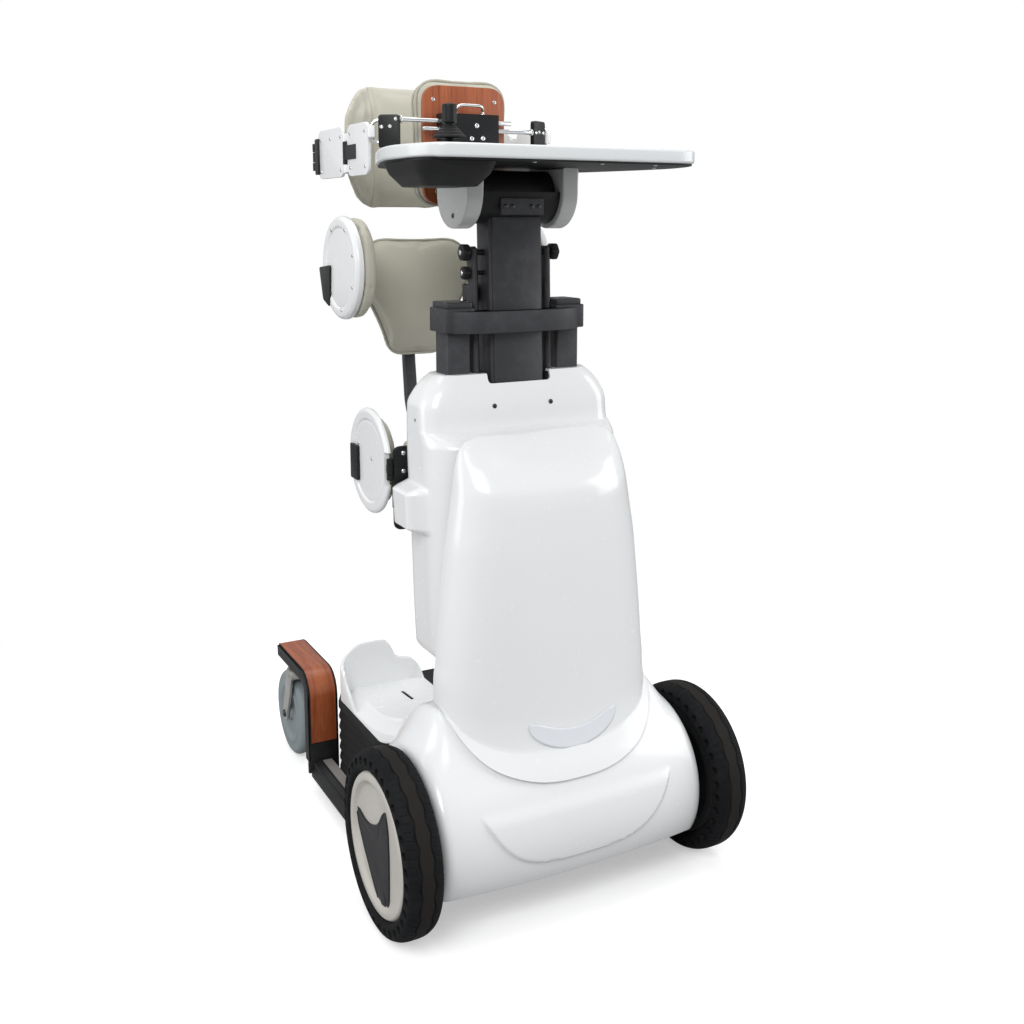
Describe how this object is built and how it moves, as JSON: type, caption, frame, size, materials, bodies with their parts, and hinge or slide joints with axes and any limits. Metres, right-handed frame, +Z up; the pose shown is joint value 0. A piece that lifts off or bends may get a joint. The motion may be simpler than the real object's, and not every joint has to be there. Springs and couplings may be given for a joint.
{
  "type": "powered standing frame",
  "caption": "Powered standing frame: wheeled base, lifting mast, tilting table with joystick, and padded supports for feet, knees, pelvis and chest.",
  "frame": {"origin": "on the floor under the middle of the machine's bounding box", "axes": "+Z up, -Y towards the front where the hood and the drive wheels are, +X towards the user's left hand side seen from the front"},
  "size_m": [0.638, 0.927, 1.396],
  "materials": {
    "back_bar": "satin",
    "back_pad": "matte",
    "base_cover": "gloss",
    "base_frame": "satin",
    "castor_fork_l": "satin",
    "castor_fork_r": "satin",
    "castor_veneer_l": "satin",
    "castor_veneer_r": "satin",
    "castor_wheel_l": "matte",
    "castor_wheel_r": "matte",
    "chest_board": "satin",
    "chest_bracket": "satin",
    "chest_handle": "gloss",
    "chest_pad": "matte",
    "clamp_spindle": "matte",
    "column_plate": "satin",
    "drive_rim_l": "satin",
    "drive_rim_r": "satin",
    "drive_tyre_l": "matte",
    "drive_tyre_r": "matte",
    "floor_pan": "satin",
    "foot_platform": "matte",
    "foot_shell_l": "gloss",
    "foot_shell_r": "gloss",
    "front_hood": "gloss",
    "front_plate_l": "gloss",
    "front_plate_r": "gloss",
    "gear_motors": "satin",
    "guide_frame": "satin",
    "head_block": "satin",
    "hip_pad_l": "matte",
    "hip_pad_r": "matte",
    "hip_shell_l": "gloss",
    "hip_shell_r": "gloss",
    "hub_insert_l": "matte",
    "hub_insert_r": "matte",
    "joystick_gimbal": "satin",
    "joystick_housing": "matte",
    "joystick_stick": "matte",
    "knee_cup_l": "satin",
    "knee_cup_r": "satin",
    "knee_front_pad_l": "matte",
    "knee_front_pad_r": "matte",
    "knee_shell_l": "gloss",
    "knee_shell_r": "gloss",
    "knee_side_pad_l": "matte",
    "knee_side_pad_r": "matte",
    "lift_column": "satin",
    "pelvic_frame": "satin",
    "pelvic_pad": "matte",
    "power_pack": "matte",
    "rear_cover": "gloss",
    "rear_plate_l": "gloss",
    "rear_plate_r": "gloss",
    "side_arm_l": "satin",
    "side_arm_r": "satin",
    "side_bars": "satin",
    "side_knob": "matte",
    "table_top": "gloss",
    "upper_cover": "gloss"
  },
  "bodies": {
    "base": {"base_frame": "base_frame", "floor_pan": "floor_pan", "base_cover": "base_cover", "front_hood": "front_hood", "upper_cover": "upper_cover", "rear_cover": "rear_cover", "power_pack": "power_pack", "gear_motors": "gear_motors", "castor_veneer_l": "castor_veneer_l", "castor_veneer_r": "castor_veneer_r", "foot_platform": "foot_platform", "guide_frame": "guide_frame"},
    "mast": {"lift_column": "lift_column", "column_plate": "column_plate", "head_block": "head_block", "side_bars": "side_bars", "chest_bracket": "chest_bracket", "chest_handle": "chest_handle", "chest_board": "chest_board", "chest_pad": "chest_pad"},
    "clamp": {"clamp_spindle": "clamp_spindle"},
    "side_screw": {"side_knob": "side_knob"},
    "table": {"table_top": "table_top", "joystick_housing": "joystick_housing"},
    "stick_pitch": {"joystick_gimbal": "joystick_gimbal"},
    "stick_roll": {"joystick_stick": "joystick_stick"},
    "back_gate": {"back_bar": "back_bar", "back_pad": "back_pad"},
    "pelvis": {"pelvic_frame": "pelvic_frame", "pelvic_pad": "pelvic_pad"},
    "drive_wheel_l": {"drive_tyre_l": "drive_tyre_l", "drive_rim_l": "drive_rim_l", "hub_insert_l": "hub_insert_l"},
    "castor_swivel_l": {"castor_fork_l": "castor_fork_l"},
    "castor_roll_l": {"castor_wheel_l": "castor_wheel_l"},
    "arm_l": {"side_arm_l": "side_arm_l"},
    "front_swing_l": {"front_plate_l": "front_plate_l"},
    "rear_swing_l": {"rear_plate_l": "rear_plate_l"},
    "hip_l": {"hip_shell_l": "hip_shell_l", "hip_pad_l": "hip_pad_l"},
    "knee_l": {"knee_cup_l": "knee_cup_l", "knee_front_pad_l": "knee_front_pad_l"},
    "knee_disc_l": {"knee_shell_l": "knee_shell_l", "knee_side_pad_l": "knee_side_pad_l"},
    "foot_l": {"foot_shell_l": "foot_shell_l"},
    "drive_wheel_r": {"drive_tyre_r": "drive_tyre_r", "drive_rim_r": "drive_rim_r", "hub_insert_r": "hub_insert_r"},
    "castor_swivel_r": {"castor_fork_r": "castor_fork_r"},
    "castor_roll_r": {"castor_wheel_r": "castor_wheel_r"},
    "arm_r": {"side_arm_r": "side_arm_r"},
    "front_swing_r": {"front_plate_r": "front_plate_r"},
    "rear_swing_r": {"rear_plate_r": "rear_plate_r"},
    "hip_r": {"hip_shell_r": "hip_shell_r", "hip_pad_r": "hip_pad_r"},
    "knee_r": {"knee_cup_r": "knee_cup_r", "knee_front_pad_r": "knee_front_pad_r"},
    "knee_disc_r": {"knee_shell_r": "knee_shell_r", "knee_side_pad_r": "knee_side_pad_r"},
    "foot_r": {"foot_shell_r": "foot_shell_r"}
  },
  "joints": [
    {"name": "mast_lift", "type": "slide", "parent": "base", "child": "mast", "axis": [0, 0.0359, 0.9994], "range_m": [-0.02, 0.25]},
    {"name": "clamp_turn", "type": "hinge", "parent": "mast", "child": "clamp", "pos_m": [0, -0.17275, 1.08085], "axis": [1, 0, 0], "continuous": true},
    {"name": "side_screw_turn", "type": "hinge", "parent": "mast", "child": "side_screw", "pos_m": [-0.075, -0.17398, 1.04688], "axis": [1, 0, 0], "continuous": true},
    {"name": "table_tilt", "type": "hinge", "parent": "mast", "child": "table", "pos_m": [0, -0.1655, 1.18], "axis": [1, 0, 0], "range_deg": [-2, 12]},
    {"name": "joystick_pitch", "type": "hinge", "parent": "table", "child": "stick_pitch", "pos_m": [-0.18, -0.3235, 1.236], "axis": [1, 0, 0], "range_deg": [-12, 12], "stiffness_Nm_per_rad": 0.4},
    {"name": "joystick_roll", "type": "hinge", "parent": "stick_pitch", "child": "stick_roll", "pos_m": [-0.18, -0.3235, 1.236], "axis": [0, 1, 0], "range_deg": [-12, 12], "stiffness_Nm_per_rad": 0.4},
    {"name": "drive_spin_l", "type": "hinge", "parent": "base", "child": "drive_wheel_l", "pos_m": [-0.288, -0.3135, 0.15], "axis": [1, 0, 0], "continuous": true},
    {"name": "castor_turn_l", "type": "hinge", "parent": "base", "child": "castor_swivel_l", "pos_m": [-0.2335, 0.3365, 0.2], "axis": [0, 0, 1], "continuous": true},
    {"name": "castor_spin_l", "type": "hinge", "parent": "castor_swivel_l", "child": "castor_roll_l", "pos_m": [-0.2335, 0.3735, 0.09], "axis": [1, 0, 0], "continuous": true},
    {"name": "arm_slide_l", "type": "slide", "parent": "mast", "child": "arm_l", "axis": [-1, 0, 0], "range_m": [0, 0.04]},
    {"name": "front_plate_turn_l", "type": "hinge", "parent": "arm_l", "child": "front_swing_l", "pos_m": [-0.175, 0.0085, 1.28], "axis": [0, 0, 1], "range_deg": [0, 60]},
    {"name": "rear_plate_turn_l", "type": "hinge", "parent": "front_swing_l", "child": "rear_swing_l", "pos_m": [-0.175, 0.1365, 1.255], "axis": [0, 0, 1], "range_deg": [0, 30]},
    {"name": "hip_slide_l", "type": "slide", "parent": "pelvis", "child": "hip_l", "axis": [-1, 0, 0], "range_m": [-0.02, 0.05]},
    {"name": "knee_slide_l", "type": "slide", "parent": "base", "child": "knee_l", "axis": [0, 1, 0], "range_m": [-0.008, 0.04]},
    {"name": "knee_disc_turn_l", "type": "hinge", "parent": "knee_l", "child": "knee_disc_l", "pos_m": [-0.1945, -0.0995, 0.709], "axis": [0, 0, 1], "range_deg": [0, 80]},
    {"name": "foot_slide_l", "type": "slide", "parent": "base", "child": "foot_l", "axis": [0, 1, 0], "range_m": [0, 0.02]},
    {"name": "drive_spin_r", "type": "hinge", "parent": "base", "child": "drive_wheel_r", "pos_m": [0.288, -0.3135, 0.15], "axis": [1, 0, 0], "continuous": true},
    {"name": "castor_turn_r", "type": "hinge", "parent": "base", "child": "castor_swivel_r", "pos_m": [0.2335, 0.3365, 0.2], "axis": [0, 0, 1], "continuous": true},
    {"name": "castor_spin_r", "type": "hinge", "parent": "castor_swivel_r", "child": "castor_roll_r", "pos_m": [0.2335, 0.3735, 0.09], "axis": [1, 0, 0], "continuous": true},
    {"name": "arm_slide_r", "type": "slide", "parent": "mast", "child": "arm_r", "axis": [1, 0, 0], "range_m": [0, 0.04]},
    {"name": "front_plate_turn_r", "type": "hinge", "parent": "arm_r", "child": "front_swing_r", "pos_m": [0.175, 0.0085, 1.28], "axis": [0, 0, -1], "range_deg": [0, 60]},
    {"name": "rear_plate_turn_r", "type": "hinge", "parent": "front_swing_r", "child": "rear_swing_r", "pos_m": [0.175, 0.1365, 1.255], "axis": [0, 0, -1], "range_deg": [0, 60]},
    {"name": "hip_slide_r", "type": "slide", "parent": "pelvis", "child": "hip_r", "axis": [1, 0, 0], "range_m": [-0.02, 0.05]},
    {"name": "knee_slide_r", "type": "slide", "parent": "base", "child": "knee_r", "axis": [0, 1, 0], "range_m": [-0.008, 0.04]},
    {"name": "knee_disc_turn_r", "type": "hinge", "parent": "knee_r", "child": "knee_disc_r", "pos_m": [0.1945, -0.0995, 0.709], "axis": [0, 0, -1], "range_deg": [0, 80]},
    {"name": "foot_slide_r", "type": "slide", "parent": "base", "child": "foot_r", "axis": [0, 1, 0], "range_m": [0, 0.02]},
    {"name": "back_gate_turn", "type": "hinge", "parent": "rear_swing_l", "child": "back_gate", "pos_m": [-0.175, 0.3085, 1.256], "axis": [0, 0, 1], "range_deg": [0, 90]},
    {"name": "pelvis_turn", "type": "hinge", "parent": "base", "child": "pelvis", "pos_m": [0, -0.0775, 0.66], "axis": [1, 0, 0], "range_deg": [-45, 0]}
  ]
}
